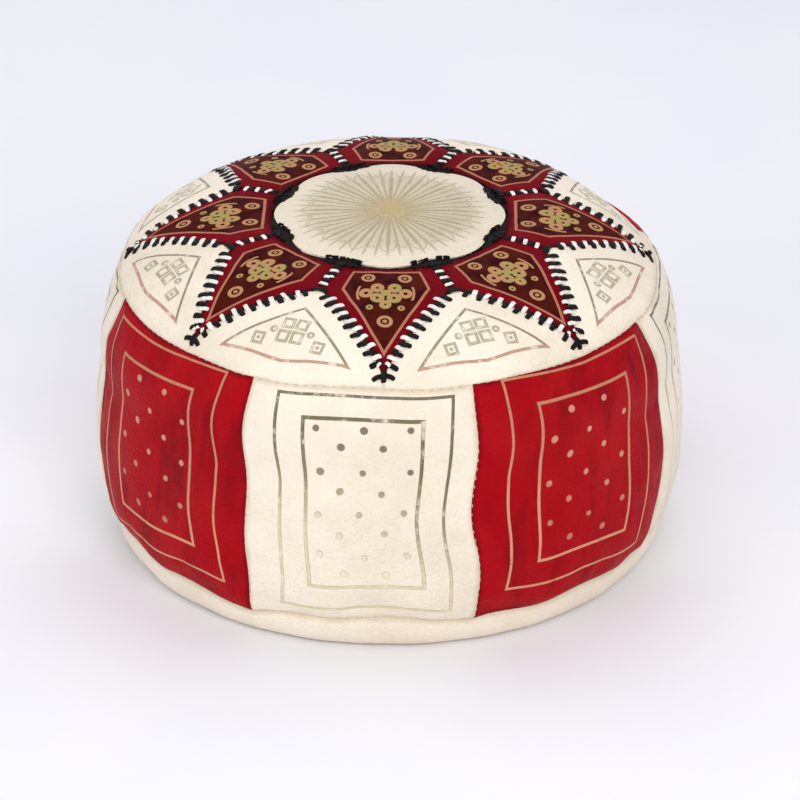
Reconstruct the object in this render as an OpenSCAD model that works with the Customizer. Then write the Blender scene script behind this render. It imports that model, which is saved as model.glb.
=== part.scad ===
// Round leather floor pouf: a laced star top, embossed side panels and a zipped base.
// The origin is on the floor under the middle, +Z is up, and the front panel faces -Y.

/* [Body] */
// Diameter at the belly, the widest level
body_d = 520; // [480:5:560]
// Height of the crown above the floor
body_h = 290; // [270:5:320]
// How far the crown stands above the top rim
crown_h = 46; // [30:1:60]
// How much narrower the top rim's radius is than the belly's
rim_inset = 22; // [14:1:30]
// How much narrower the base seam's radius is than the belly's
base_inset = 13; // [6:1:18]
// Height of the base seam, where the side panels end
seam_z = 28; // [22:1:36]
// Radius of the part of the underside that lies flat
foot_r = 222; // [200:1:226]
// Thickness of the leather
leather_t = 1.6; // [1.2:0.1:1.8]

/* [Star top] */
// Number of star points, and of side panels, which alternate in colour
points = 8; // [6:2:10]
// Turn of the star against the side panels, in degrees
star_turn = 4.5; // [0:0.5:8]
// Radius of the medallion at its lobes
medallion_r = 106; // [100:1:108]
// Depth of the notches between the lobes
lobe_depth = 9; // [5:1:10]
// Inner radius of the star points
star_inner_r = 107.5; // [107:0.5:112]
// Radius at which two star points part
star_apex_r = 145; // [140:1:150]
// Radius of the tips of the star points
star_tip_r = 228; // [220:1:230]

/* [Lacing] */
// Length of one lacing stitch across its seam
stitch_l = 10; // [8:0.5:10]
// Width of one lacing stitch
stitch_w = 4.4; // [3:0.2:4.8]
// Thickness of the lacing
stitch_t = 1.1; // [0.8:0.1:1.4]
// Stitches of each colour on one long edge
edge_stitches = 9; // [7:1:9]
// Stitches of each colour on one short radial seam
radial_stitches = 3; // [2:1:3]

/* [Zip] */
// Length of the slot that the zip closes
slot_l = 300; // [260:10:320]
// Half width of that slot
slot_half = 6.5; // [6.3:0.1:7]
// Depth of the recess that keeps the zip off the floor
recess = 7; // [7:0.1:7.4]
// Spacing of the teeth
tooth_pitch = 3.2; // [2.8:0.1:4]
// Distance that the slider travels
zip_travel = 270; // [230:5:280]

/* [Hidden] */
$fn = 72;

sector = 360 / points;
half_sector = sector / 2;
belly_r = body_d / 2;
rim_r = belly_r - rim_inset;
base_r = belly_r - base_inset;
rim_z = body_h - crown_h;

dome_power = 4.5;       // a crown that is flat in the middle and falls towards the rim
dome_steps = 20;
side_steps = 12;
foot_steps = 6;
belly_skew = 0.75;      // under 1 puts the belly below half height
belly_peak = pow(0.5, 1 / belly_skew);
belly = belly_r - (base_r + (rim_r - base_r) * belly_peak);

seam_gap = 0.4;         // between two leather pieces
stitch_lift = 0.25;     // of the lacing above the leather
edge_gap = 1;           // from a side panel's top or bottom edge to its seam's thread
seam_angle = 0.4;       // between two side panels, in degrees
thread_angle = 0.2;     // width of the thread in that seam, in degrees
thread_r = 0.6;
rim_drop = leather_t + 2 * thread_r + 0.3;  // from the rim to a side panel's top edge
underlay_half_w = 14;
underlay_t = 1;
underlay_gap = 0.4;      // below the medallion and the star points
liner_t = 0.8;
liner_inset = leather_t + underlay_t + 0.8;
core_inset = liner_inset + liner_t + 0.2;

slope_w = 14;           // width of the slope round the zip's recess
tray_ends = 24;         // how much longer than the slot that recess's roof is
lip_w = 7.5;            // width of the flat lip beside the slot
band_inner_r = foot_r - 16;
tooth_in = 0.8;         // half the gap that the slider's post runs in
tooth_out = 3.4;
tape_t = 0.6;
tape_w = slot_half + lip_w - tooth_out;
tape_l = slot_l + 20;
tooth_w = 1.8;
bead_t = 1.2;           // of the cord that holds the teeth
tooth_t = 2.6;
tape_z = recess + leather_t;
tooth_z = tape_z + tape_t / 2;
stop_l = 3;
stop_h = 3;
stop_clearance = 0.1;   // from a stop to the tape's edge
stop_gap = 1.5;         // from the slider to a stop at either end of its travel
slider_l = 14;
slider_w = 10.8;
plate_t = 1.3;
plate_gap = 0.5;        // between the teeth and the slider's plates
flange_w = 1;
flange_h = 0.8;
post_w = 1;
post_l = 4;
pin_r = 0.7;
pin_drop = 1.9;         // from the slider's lower plate to the pull's pin
eye_r = 1.4;
eye_clearance = 0.08;
eye_half_w = 2;
lug_w = 1.2;
lug_l = 3.2;
lug_gap = 0.2;
pull_l = 26;
pull_w = 8;
pull_t = 1.3;
pull_neck = 4;
pull_hole_d = 3.4;
slider_x = -zip_travel / 2;
plate_low_z = tooth_z - tooth_t / 2 - plate_gap - plate_t;
plate_high_z = tooth_z + tooth_t / 2 + plate_gap;
pin_z = plate_low_z - pin_drop;
roof_z = plate_high_z + plate_t + 0.8;  // underside of the liner over the zip
tall = body_h + 10;

cream = "antiquewhite";
red = "crimson";
oxblood = "maroon";

// A point in plan, at an angle from the front (-Y) towards +X
function polar(r, a) = [r * sin(a), -r * cos(a)];

// Height of the top's outer surface at a radius, and its slope there in degrees
function dome_z(r) = rim_z + crown_h * (1 - pow(r / rim_r, dome_power));
function dome_slope(r) = atan(crown_h * dome_power * pow(r / rim_r, dome_power - 1) / rim_r);

// Radius of the side's outer surface at a height
function side_r(z) =
    let (t = (z - seam_z) / (rim_z - seam_z))
    base_r + (rim_r - base_r) * t + belly * sin(180 * pow(max(t, 0), belly_skew));

// Points on the outer surface, each moved inwards by a distance
function dome_points(d) =
    [for (i = [0:dome_steps]) let (r = rim_r * sin(90 * i / dome_steps))
        [max(r - d * r / rim_r, 0), dome_z(r) - d]];
function side_points(d, low, high) =
    [for (i = [0:side_steps]) let (z = high + (low - high) * i / side_steps) [side_r(z) - d, z]];
function foot_points(d) =
    [for (i = [0:foot_steps]) let (a = 90 * i / foot_steps)
        [foot_r + (base_r - foot_r - d) * cos(a), seam_z - (seam_z - d) * sin(a)]];

function reversed(list) = [for (i = [len(list) - 1:-1:0]) list[i]];

// A strip of sheet between two insets of the same row of points
module strip(outer, inner) {
    polygon(concat(outer, reversed(inner)));
}

module dome_shell(from, to) {
    rotate_extrude() strip(dome_points(from), dome_points(to));
}

// What the skin holds, as one solid, inset from the outer surface by a distance
module inside(d) {
    rotate_extrude()
        polygon(concat(dome_points(d), side_points(d, seam_z, rim_z - d), foot_points(d), [[0, d]]));
}

// The plan of one star point, with its tip at the front
module star_plan() {
    h = half_sector - 0.1;
    difference() {
        polygon([polar(star_inner_r / 2, -h), polar(star_apex_r, -h), polar(star_tip_r, 0),
                 polar(star_apex_r, h), polar(star_inner_r / 2, h)]);
        circle(r = star_inner_r);
    }
}

// The plan of the cream leather between two star points, which the rim cuts off
module cream_plan() {
    h = half_sector - 0.05;
    polygon([polar(star_apex_r + 1.25 * seam_gap, 0), polar(star_tip_r + 2 * seam_gap, -h),
             polar(1.2 * rim_r, -h), polar(1.2 * rim_r, h), polar(star_tip_r + 2 * seam_gap, h)]);
}

module medallion_plan() {
    lobe_r = 0.43 * medallion_r;
    circle(r = medallion_r - lobe_depth);
    for (i = [0:points - 1])
        translate(polar(medallion_r - lobe_r, i * sector)) circle(r = lobe_r);
}

module on_top(turn) {
    rotate([0, 0, star_turn + turn])
        intersection() {
            dome_shell(0, leather_t);
            linear_extrude(height = tall) children();
        }
}

module medallion() {
    color(cream) on_top(0) medallion_plan();
}

// The black leather ring that shows in the notches between the medallion's lobes
module underlay_ring() {
    top = leather_t + underlay_gap;
    r = [star_inner_r - underlay_half_w, star_inner_r, star_inner_r + underlay_half_w];
    color("black")
        rotate_extrude()
            strip([for (x = r) [x, dome_z(x) - top]], [for (x = r) [x, dome_z(x) - top - underlay_t]]);
}

module star_point(i) {
    color(oxblood) on_top((i - 1) * sector) star_plan();
}

module cream_wedge(i) {
    color(cream) on_top((i - 0.5) * sector) cream_plan();
}

// One side panel; the odd ones are cream and the even ones are red
module side_panel(i) {
    low = seam_z + edge_gap;
    high = rim_z - rim_drop;
    color(i % 2 == 1 ? cream : red)
        rotate([0, 0, (i - 1.5) * sector - 90 + seam_angle / 2])
            rotate_extrude(angle = sector - seam_angle)
                strip(side_points(0, low, high), side_points(leather_t, low, high));
}

// One stitch that lies on the dome, at a point in plan and at an angle from the radial direction
module dome_stitch(p, turn) {
    r = norm(p);
    translate([p.x, p.y, dome_z(r) + stitch_t / 2 + stitch_lift])
        rotate([0, 0, atan2(p.y, p.x)])
            rotate([0, dome_slope(r), 0])
                rotate([0, 0, turn])
                    cube([stitch_l, stitch_w, stitch_t], center = true);
}

// The stitches of one colour; phase shifts them along the seams by a share of the pitch
module lacing(phase) {
    tip = polar(star_tip_r, 0);
    apex = polar(star_apex_r, half_sector);
    edge = apex - tip;
    edge_l = norm(edge);
    clear_tip = 9.5;
    clear_apex = 3.5;
    pitch = (edge_l - clear_tip - clear_apex) / edge_stitches;
    radial_start = star_inner_r + 4;
    radial_pitch = (star_apex_r - 6 - radial_start) / radial_stitches;
    for (i = [0:points - 1])
        rotate([0, 0, star_turn + i * sector]) {
            for (k = [0:edge_stitches - 1], side = [-1, 1]) {
                p = tip + edge * ((clear_tip + (k + phase) * pitch) / edge_l);
                q = [side * p.x, p.y];
                across = atan2(edge.y, edge.x) + 90;
                dome_stitch(q, (side > 0 ? across : -across) - atan2(q.y, q.x));
            }
            for (k = [0:radial_stitches - 1])
                dome_stitch(polar(radial_start + (k + phase) * radial_pitch, half_sector), 90);
        }
}

module black_lacing() {
    color("black") lacing(0.25);
}

module white_lacing() {
    color("white") lacing(0.75);
}

module seam_ring(r, z) {
    rotate_extrude() translate([r, z]) circle(r = thread_r);
}

module rim_seam_thread() {
    color("tan") seam_ring(rim_r - 1, rim_z - leather_t - thread_r - 0.15);
}

module base_seam_thread() {
    color("tan") seam_ring(base_r - thread_r, seam_z);
}

module side_seam_threads() {
    low = seam_z + edge_gap;
    high = rim_z - rim_drop;
    color("tan")
        for (i = [0:points - 1])
            rotate([0, 0, (i + 0.5) * sector - 90 - thread_angle / 2])
                rotate_extrude(angle = thread_angle)
                    strip(side_points(0.4, low, high), side_points(leather_t, low, high));
}

// The cream band that turns under the pouf from the base seam
module base_band() {
    outer = concat(foot_points(0), [[band_inner_r + seam_gap, 0]]);
    inner = concat(foot_points(leather_t), [[band_inner_r + seam_gap, leather_t]]);
    color(cream)
        intersection() {
            rotate_extrude() strip(outer, inner);
            cylinder(r = body_d, h = seam_z - edge_gap);
        }
}

// The hollow over the zip: a tray upside down, whose walls slope up to a flat roof
module recess_tray(roof, grow) {
    l = slot_l + tray_ends + 2 * grow;
    w = 2 * (slot_half + lip_w + grow);
    hull() {
        translate([-l / 2 - slope_w, -w / 2 - slope_w, -1]) cube([l + 2 * slope_w, w + 2 * slope_w, 1]);
        translate([-l / 2, -w / 2, roof - 1]) cube([l, w, 1]);
    }
}

// A round sheet from the floor up, raised over the zip into a tray
module raised_disc(r, low, roof, grow, t) {
    difference() {
        union() {
            translate([0, 0, low]) cylinder(r = r, h = t);
            intersection() {
                recess_tray(roof + t, grow + t);
                translate([0, 0, low]) cylinder(r = r, h = tall);
            }
        }
        recess_tray(roof, grow);
    }
}

// Half of the underside, with its straight edge turned up to the zip
module base_half(side) {
    near = seam_gap / 2;
    color(cream)
        difference() {
            intersection() {
                raised_disc(band_inner_r, 0, recess, 0, leather_t);
                translate([-body_d, side < 0 ? -body_d - near : near, -1]) cube([2 * body_d, body_d, tall]);
            }
            translate([-slot_l / 2, -slot_half, -1]) cube([slot_l, 2 * slot_half, tall]);
        }
}

module base_half_front() {
    base_half(-1);
}

module base_half_back() {
    base_half(1);
}

// A box between two distances from the zip's centre line, on one side of it
module zip_box(side, x, length, near, far, z, height) {
    translate([x, side < 0 ? -far : near, z]) cube([length, far - near, height]);
}

module zip_tape(side) {
    color("wheat") zip_box(side, -tape_l / 2, tape_l, tooth_out, tooth_out + tape_w, tape_z, tape_t);
}

module zip_tape_front() {
    zip_tape(-1);
}

module zip_tape_back() {
    zip_tape(1);
}

// A row of teeth on the bead that holds them
module zip_teeth(side) {
    run = zip_travel + slider_l + 2;
    count = floor(run / tooth_pitch);
    start = -(count - 1) * tooth_pitch / 2;
    shift = side < 0 ? 0 : tooth_pitch / 2;
    color("goldenrod") {
        zip_box(side, start - tooth_w / 2, (count - 1) * tooth_pitch + tooth_w, tooth_out - 1, tooth_out,
                tooth_z - bead_t / 2, bead_t);
        for (k = [0:count - 1 - (side < 0 ? 0 : 1)])
            zip_box(side, start + shift + k * tooth_pitch - tooth_w / 2, tooth_w, tooth_in, tooth_out - 0.3,
                    tooth_z - tooth_t / 2, tooth_t);
    }
}

module zip_teeth_front() {
    zip_teeth(-1);
}

module zip_teeth_back() {
    zip_teeth(1);
}

// The two stops that the slider closes against
module zip_top_stops() {
    x = slider_x - slider_l / 2 - stop_gap - stop_l;
    color("goldenrod")
        for (side = [-1, 1])
            zip_box(side, x, stop_l, tooth_in, tooth_out - stop_clearance, tooth_z - stop_h / 2, stop_h);
}

// The stop across both rows, at the open end
module zip_bottom_stop() {
    color("goldenrod")
        translate([-slider_x + slider_l / 2 + stop_gap, -tooth_out + stop_clearance, tooth_z - stop_h / 2])
            cube([stop_l, 2 * (tooth_out - stop_clearance), stop_h]);
}

// Two plates round the teeth, joined by a post, with two lugs and a pin for the pull
module zip_slider() {
    low_top = plate_low_z + plate_t;
    color("gold")
        translate([slider_x, 0, 0]) {
            for (z = [plate_low_z, plate_high_z])
                translate([-slider_l / 2, -slider_w / 2, z]) cube([slider_l, slider_w, plate_t]);
            for (side = [-1, 1], z = [low_top, plate_high_z - flange_h])
                zip_box(side, -slider_l / 2, slider_l, slider_w / 2 - flange_w, slider_w / 2, z, flange_h);
            translate([-slider_l / 2, -post_w / 2, low_top])
                cube([post_l, post_w, plate_high_z - low_top]);
            for (side = [-1, 1])
                zip_box(side, -lug_l / 2, lug_l, eye_half_w + lug_gap, eye_half_w + lug_gap + lug_w,
                        pin_z - pin_r - 0.7, plate_low_z - pin_z + pin_r + 0.7);
            translate([0, 0, pin_z]) rotate([90, 0, 0])
                cylinder(r = pin_r, h = 2 * (eye_half_w + lug_gap) + 1, center = true);
        }
}

// The pull tab, with its eye round the slider's pin
module zip_pull() {
    color("gold")
        translate([slider_x, 0, pin_z])
            difference() {
                union() {
                    rotate([90, 0, 0]) cylinder(r = eye_r, h = 2 * eye_half_w, center = true);
                    translate([0, -eye_half_w, -pull_t / 2]) cube([pull_neck + 1, 2 * eye_half_w, pull_t]);
                    translate([pull_neck, 0, 0])
                        linear_extrude(height = pull_t, center = true) pull_plan();
                }
                rotate([90, 0, 0])
                    cylinder(r = pin_r + eye_clearance, h = 2 * eye_half_w + 1, center = true);
            }
}

module pull_plan() {
    body_l = pull_l - pull_neck - pull_w / 2;
    difference() {
        union() {
            translate([0, -pull_w / 2]) square([body_l, pull_w]);
            translate([body_l, 0]) circle(d = pull_w);
        }
        translate([body_l, 0]) circle(d = pull_hole_d);
    }
}

// The cotton bag inside the leather: a top disc, a side wall and a bottom disc
module liner_top() {
    color("ivory") dome_shell(liner_inset, liner_inset + liner_t);
}

module liner_side() {
    high = rim_z - liner_inset - liner_t - 2;
    outer = concat(side_points(liner_inset, seam_z, high), foot_points(liner_inset));
    inner = concat(side_points(liner_inset + liner_t, seam_z, high), foot_points(liner_inset + liner_t));
    color("ivory") rotate_extrude() strip(outer, inner);
}

module liner_bottom() {
    color("ivory") raised_disc(foot_r - 1, liner_inset, roof_z, liner_t, liner_t);
}

// The loose filling, packed to the shape of the bag
module stuffing() {
    color("linen")
        difference() {
            inside(core_inset);
            recess_tray(roof_z + liner_t + 0.3, 2 * liner_t + 1.5);
        }
}

medallion();
underlay_ring();
for (i = [1:points]) {
    star_point(i);
    cream_wedge(i);
    side_panel(i);
}
black_lacing();
white_lacing();
rim_seam_thread();
side_seam_threads();
base_seam_thread();
base_band();
base_half_front();
base_half_back();
zip_tape_front();
zip_tape_back();
zip_teeth_front();
zip_teeth_back();
zip_top_stops();
zip_bottom_stop();
zip_slider();
zip_pull();
liner_top();
liner_side();
liner_bottom();
stuffing();
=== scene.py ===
"""A round leather floor pouf: laced star top, gilt embossed panels, stuffed and zipped underneath.

Angles round the pouf are in radians from the front (-Y) towards +X. Sizes are in metres.
"""

import math
from collections import namedtuple

import bpy
import numpy as np
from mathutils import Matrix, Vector, noise
from mathutils.bvhtree import BVHTree


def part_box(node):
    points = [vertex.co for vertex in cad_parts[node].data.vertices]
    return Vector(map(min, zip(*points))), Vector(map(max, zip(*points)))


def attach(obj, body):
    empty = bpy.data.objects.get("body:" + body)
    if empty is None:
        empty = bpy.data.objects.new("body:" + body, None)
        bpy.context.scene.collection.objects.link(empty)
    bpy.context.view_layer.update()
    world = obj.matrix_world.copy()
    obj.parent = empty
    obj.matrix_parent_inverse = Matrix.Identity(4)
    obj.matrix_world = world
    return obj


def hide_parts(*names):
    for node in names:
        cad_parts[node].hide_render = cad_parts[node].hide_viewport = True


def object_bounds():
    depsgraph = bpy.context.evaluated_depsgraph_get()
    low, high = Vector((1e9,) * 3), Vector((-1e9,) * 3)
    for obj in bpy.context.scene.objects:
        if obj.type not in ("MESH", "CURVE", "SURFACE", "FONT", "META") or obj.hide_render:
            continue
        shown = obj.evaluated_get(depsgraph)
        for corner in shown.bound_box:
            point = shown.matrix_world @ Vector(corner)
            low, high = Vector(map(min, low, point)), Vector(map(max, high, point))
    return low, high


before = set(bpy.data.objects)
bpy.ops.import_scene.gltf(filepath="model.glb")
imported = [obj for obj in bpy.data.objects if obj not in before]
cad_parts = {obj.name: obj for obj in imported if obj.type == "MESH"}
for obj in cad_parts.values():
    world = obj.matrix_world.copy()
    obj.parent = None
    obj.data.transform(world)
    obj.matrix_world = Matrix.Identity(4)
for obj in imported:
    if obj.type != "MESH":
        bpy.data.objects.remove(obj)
cad_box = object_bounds()


# ------------------------------------------------------------------ sizes, from the frame

def node_points(name):
    return np.array([v.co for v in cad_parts[name].data.vertices], float)


def plan_radius(points):
    return np.hypot(points[..., 0], points[..., 1])


first_star = node_points("star_point_1")
first_tip = first_star[np.argmax(plan_radius(first_star))]

POINTS = sum(name.startswith("star_point_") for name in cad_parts)
SECTOR = 2 * math.pi / POINTS
HALF = SECTOR / 2
TURN = math.atan2(first_tip[0], -first_tip[1])      # of the star against the side panels
TIP_R = plan_radius(first_star).max()
INNER_R = plan_radius(first_star).min()
APEX_R = plan_radius(node_points("cream_wedge_1")).min()
RIM_R = plan_radius(node_points("cream_wedge_1")).max()
MEDALLION_R = plan_radius(node_points("medallion")).max()
LEATHER = 0.0016         # thickness
RIM_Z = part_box("cream_wedge_1")[0].z + LEATHER
CROWN_Z = cad_box[1].z
BELLY_R = cad_box[1].x
BASE_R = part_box("base_seam_thread")[1].x
BASE_Z = (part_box("base_seam_thread")[0].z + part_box("base_seam_thread")[1].z) / 2
BAND_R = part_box("base_half_front")[1].x
FOOT_R = BAND_R + 0.016                             # where the band turns under
RECESS_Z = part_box("base_half_front")[1].z - LEATHER
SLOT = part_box("zip_tape_front")[1].x - 0.01         # half the length of the zip's opening
SLOT_W = 0.0065                                     # half its width
SEAM_GAP = 0.0003                                   # half the gap of the seam beyond it

DOME_POWER = 4.5        # how flat the top is
BELLY_SKEW = 0.75       # how low the belly lies
LOBE_DEPTH = 0.010      # of the medallion's outline, between the star points
BACK_RISE = 0.010       # uneven filling lifts the back of the top a little
SHOULDER = 0.004        # how much fuller the sides are just under the rim
CORNER_PULL = 0.0025    # of the rim between the side seams, which leaves it slightly eight-sided
BELLY_PULL = 0.006      # of the sides between their seams
SEAM_DRIFT = {2: 0.016, 7: -0.016}      # side seams that were sewn off their place
DRAW_IN = 0.0055        # of the lacing round the medallion, towards the middle
DRAW_WIDTH = 0.034      # how far from the medallion's edge that is felt
OVERHANG = 0.014        # where the filling pushes the back right shoulder out over the rim
OVERHANG_AT = math.radians(126)
OVERHANG_WIDTH = math.radians(24)
INSIDE = np.array([0, 0, 0.12])         # a point well inside the pouf


# ------------------------------------------------------------------ the shape the cover is cut to

def smooth(x):
    x = np.clip(x, 0, 1)
    return x * x * (3 - 2 * x)


def in_plan(r, a, z):
    """Points at a radius, an angle from the front and a height."""
    r, a, z = np.broadcast_arrays(r, a, z)
    return np.stack([r * np.sin(a), -r * np.cos(a), z], -1)


def between_seams(a):
    """0 at the side seams and 1 halfway between them."""
    return np.sin((a - HALF) * POINTS / 2) ** 2


def overhang(a):
    return OVERHANG * np.exp(-((a - OVERHANG_AT) / OVERHANG_WIDTH) ** 2)


def rim_r(a):
    return RIM_R - CORNER_PULL * between_seams(a) - overhang(a)


def rim_z(a):
    return RIM_Z + 0.0012 * np.sin(3 * a + 0.6) + 0.0010 * np.sin(11 * a + 2.0)


def back_rise(y):
    return BACK_RISE * smooth(0.5 + 0.5 * y / RIM_R)


def settled_r(r, a):
    """Radius in plan at which a point of the top comes to lie, from its radius as cut."""
    drawn = DRAW_IN * np.exp(-((r - MEDALLION_R) / DRAW_WIDTH) ** 2)
    return r - drawn + (rim_r(a) - RIM_R) * np.clip(r / RIM_R, 0, 1) ** DOME_POWER


def dome(r, a):
    """Points of the top at a radius, as cut, and an angle."""
    fall = np.clip(r / RIM_R, 0, 1) ** DOME_POWER
    z = CROWN_Z * (1 - fall) + rim_z(a) * fall
    p = in_plan(settled_r(r, a), a, z)
    p[..., 2] += back_rise(p[..., 1])
    return p


def side_r(t):
    """Radius of the side at a share of the way up from the base seam to the rim."""
    line = BASE_R + (RIM_R - BASE_R) * t
    belly = BELLY_R - BASE_R - (RIM_R - BASE_R) * 0.5 ** (1 / BELLY_SKEW)
    shoulder = SHOULDER * np.sin(math.pi * np.clip((1 - t) / 0.4, 0, 1)) ** 2
    return line + belly * np.sin(math.pi * np.clip(t, 0, 1) ** BELLY_SKEW) + shoulder


def base_z(a):
    """Height of the base seam: it droops at the side seams."""
    droop = 0.003 - 0.004 * between_seams(a) ** 0.35
    return BASE_Z - droop + 0.0022 * np.sin(5 * a + 1) + 0.0014 * np.sin(17 * a)


def seam_angle(k, t):
    """Angle of the side seam to the right of panel k, which wanders on its way up."""
    turn = 2.1 * (k % POINTS)
    wander = 0.0042 * np.sin(5.2 * t + turn) + 0.0022 * np.sin(13 * t + 2.2 * turn)
    wander += SEAM_DRIFT.get(k % POINTS, 0.0)
    return (k - 0.5) * SECTOR + wander * np.sqrt(np.sin(math.pi * np.clip(t, 0, 1))) / BELLY_R


def side_points(k, u, t):
    """Points of side panel k at shares of the way across from its left seam and up from its base."""
    a = seam_angle(k - 1, t) * (1 - u) + seam_angle(k, t) * u
    top = rim_z(a) + back_rise(-RIM_R * np.cos(a))
    low = base_z(a)
    across = 4 * u * (1 - u)
    roll = 1 - np.sqrt(1 - np.clip((t - 0.94) / 0.06, 0, 1) ** 2)
    r = side_r(t) - CORNER_PULL * between_seams(a) * smooth(t * 2 - 1) - overhang(a) * roll
    r -= BELLY_PULL * across * np.sin(math.pi * np.clip(t, 0, 1))
    return in_plan(r, a, low + (top - low) * t)


# ------------------------------------------------------------------ grid tools

def smooth_shares(cells, ease=0.5):
    """Shares from 0 to 1, closer together at both ends."""
    s = np.linspace(0, 1, cells + 1)
    return s - ease * np.sin(2 * math.pi * s) / (2 * math.pi)


def shares(across, along):
    return np.meshgrid(smooth_shares(across), smooth_shares(along), indexing="ij")


def disc(cells):
    """A square grid pressed into a circle of radius 1."""
    u, v = shares(cells, cells)
    a, b = 2 * u - 1, 2 * v - 1
    return np.stack([a * np.sqrt(1 - b * b / 2), b * np.sqrt(1 - a * a / 2)], -1)


def wrapped(p):
    return np.concatenate([p[-1:], p, p[:1]])


def grid_cross(p, wrap=False):
    """Normals of a grid, in the direction of its first axis crossed with its second."""
    q = wrapped(p) if wrap else p
    n = np.cross(np.gradient(q, axis=0), np.gradient(q, axis=1))
    n = n[1:-1] if wrap else n
    return n / (np.linalg.norm(n, axis=-1, keepdims=True) + 1e-12)


def turns_in(p, wrap=False):
    """Whether those normals point into the pouf."""
    return ((p - INSIDE) * grid_cross(p, wrap)).sum() < 0


def grid_normals(p, wrap=False):
    """Unit normals of a grid that point out of the pouf."""
    return grid_cross(p, wrap) * (-1 if turns_in(p, wrap) else 1)


def refine(a):
    """Doubles a grid's cells, with new points on a smooth curve through the old ones."""
    for axis in (0, 1):
        a = np.moveaxis(a, axis, 0)
        p = np.concatenate([2 * a[:1] - a[1:2], a, 2 * a[-1:] - a[-2:-1]])
        out = np.empty((2 * len(a) - 1,) + a.shape[1:])
        out[0::2] = a
        out[1::2] = (9 * (p[1:-2] + p[2:-1]) - p[:-3] - p[3:]) / 16
        a = np.moveaxis(out, 0, axis)
    return a


def border_distances(p):
    """Distances along a grid's lines from each point to its four borders."""
    found = []
    for axis in (0, 1):
        step = np.linalg.norm(np.diff(p, axis=axis), axis=-1)
        run = np.cumsum(step, axis)
        run = np.concatenate([np.zeros_like(run.take([0], axis)), run], axis)
        found += [run, run.take([-1], axis) - run]
    return found


def on_border(shape):
    mask = np.zeros(shape, bool)
    mask[[0, -1], :] = True
    mask[:, [0, -1]] = True
    return mask


def quads(rows, columns, wrap=False, flip=False):
    """Faces of a grid, as indices."""
    i = np.arange(rows * columns).reshape(rows, columns)
    i = np.concatenate([i, i[:1]]) if wrap else i
    faces = np.stack([i[:-1, :-1], i[1:, :-1], i[1:, 1:], i[:-1, 1:]], -1).reshape(-1, 4)
    return faces[:, ::-1] if flip else faces


def noise_at(p, scale, seed):
    """Smooth noise, between about -1 and 1, at each point of an array."""
    shift = Vector((seed * 13.7, seed * 5.3, seed * 9.1))
    q = np.zeros((p[..., 0].size, 3))
    q[:, :p.shape[-1]] = p.reshape(-1, p.shape[-1])
    return np.array([noise.noise(Vector(x) * scale + shift) for x in q]).reshape(p.shape[:-1])


# ------------------------------------------------------------------ patches of leather

# flat is the cut leather, borders are (depth, direction) of the seams at the grid's four borders,
# roll is how far in from them it curves down, slack is how much larger than its place it is cut,
# and cap is how far it may swell
Patch = namedtuple("Patch", "points flat borders roll slack cap")


def polar(r, a):
    return np.stack(np.broadcast_arrays(r * np.sin(a), r * np.cos(a)), -1)


def on_dome(flat, centre):
    """Points of the top from flat ones, whose second coordinate runs outwards at the angle centre."""
    return dome(np.hypot(flat[..., 0], flat[..., 1]), centre + np.arctan2(flat[..., 0], flat[..., 1]))


def bent_line(u, end, corner):
    """Points on the line from end, mirrored, to corner and on to end, as u runs from -1 to 1."""
    w = np.abs(u)[..., None]
    ends = np.stack([np.sign(u) * end[0], np.full_like(u, end[1])], -1)
    return np.array(corner) * (1 - w) + ends * w


def between(inner, outer, v):
    return inner * (1 - v[..., None]) + outer * v[..., None]


def rim_out(p):
    """Direction out of the seam between the top and the sides."""
    return in_plan(0.85, np.arctan2(p[..., 0], -p[..., 1]), 0.53)


def base_out(p):
    return in_plan(0.9, np.arctan2(p[..., 0], -p[..., 1]), -0.43)


TOP_CELLS = (34, 20)
PANEL_CELLS = (36, 38)
LACED = (0.0008, None)
RADIAL = (0.0025, None)
SIDE_SEAM = (0.0030, None)
RIM_SEAM = (0.0036, rim_out)
BASE_SEAM = (0.0045, base_out)
APEX_FLAT = (APEX_R * math.sin(HALF), APEX_R * math.cos(HALF))
TIP_SIDE_FLAT = (TIP_R * math.sin(HALF), TIP_R * math.cos(HALF))


def star_patch(i):
    u, v = shares(*TOP_CELLS)
    u = 2 * u - 1
    flat = between(polar(INNER_R, u * HALF), bent_line(u, APEX_FLAT, (0, TIP_R)), v)
    borders = [LACED, LACED, (0.0012, None), LACED]
    place = on_dome(flat, TURN + (i - 1) * SECTOR)
    return Patch(place, flat, borders, roll=0.008, slack=0.007, cap=0.0035)


def wedge_patch(i):
    u, v = shares(*TOP_CELLS)
    u = 2 * u - 1
    flat = between(bent_line(u, TIP_SIDE_FLAT, (0, APEX_R)), polar(RIM_R, u * HALF), v)
    borders = [RADIAL, RADIAL, LACED, RIM_SEAM]
    place = on_dome(flat, TURN + (i - 0.5) * SECTOR)
    return Patch(place, flat, borders, roll=0.010, slack=0.009, cap=0.004)


def medallion_patch():
    """The round middle of the top, with a lobe towards each star point."""
    unit = disc(TOP_CELLS[0])
    r = plan_radius(unit)
    angle = np.arctan2(unit[..., 0], unit[..., 1])
    lobe = np.abs(np.cos(angle * POINTS / 2)) ** 0.8
    flat = unit * (MEDALLION_R - 0.0008 - LOBE_DEPTH * (1 - lobe) * smooth(2 * r - 1))[..., None]
    borders = [(0.0006, None)] * 4
    return Patch(on_dome(flat, TURN), flat, borders, roll=0.006, slack=0.003, cap=0.003)


def panel_patch(k):
    u, t = shares(*PANEL_CELLS)
    flat = np.stack([(u - 0.5) * SECTOR * side_r(t), (t - 0.5) * (RIM_Z - BASE_Z)], -1)
    borders = [SIDE_SEAM, SIDE_SEAM, BASE_SEAM, RIM_SEAM]
    return Patch(side_points(k, u, t), flat, borders, roll=0.018, slack=0.018, cap=0.007)


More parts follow.
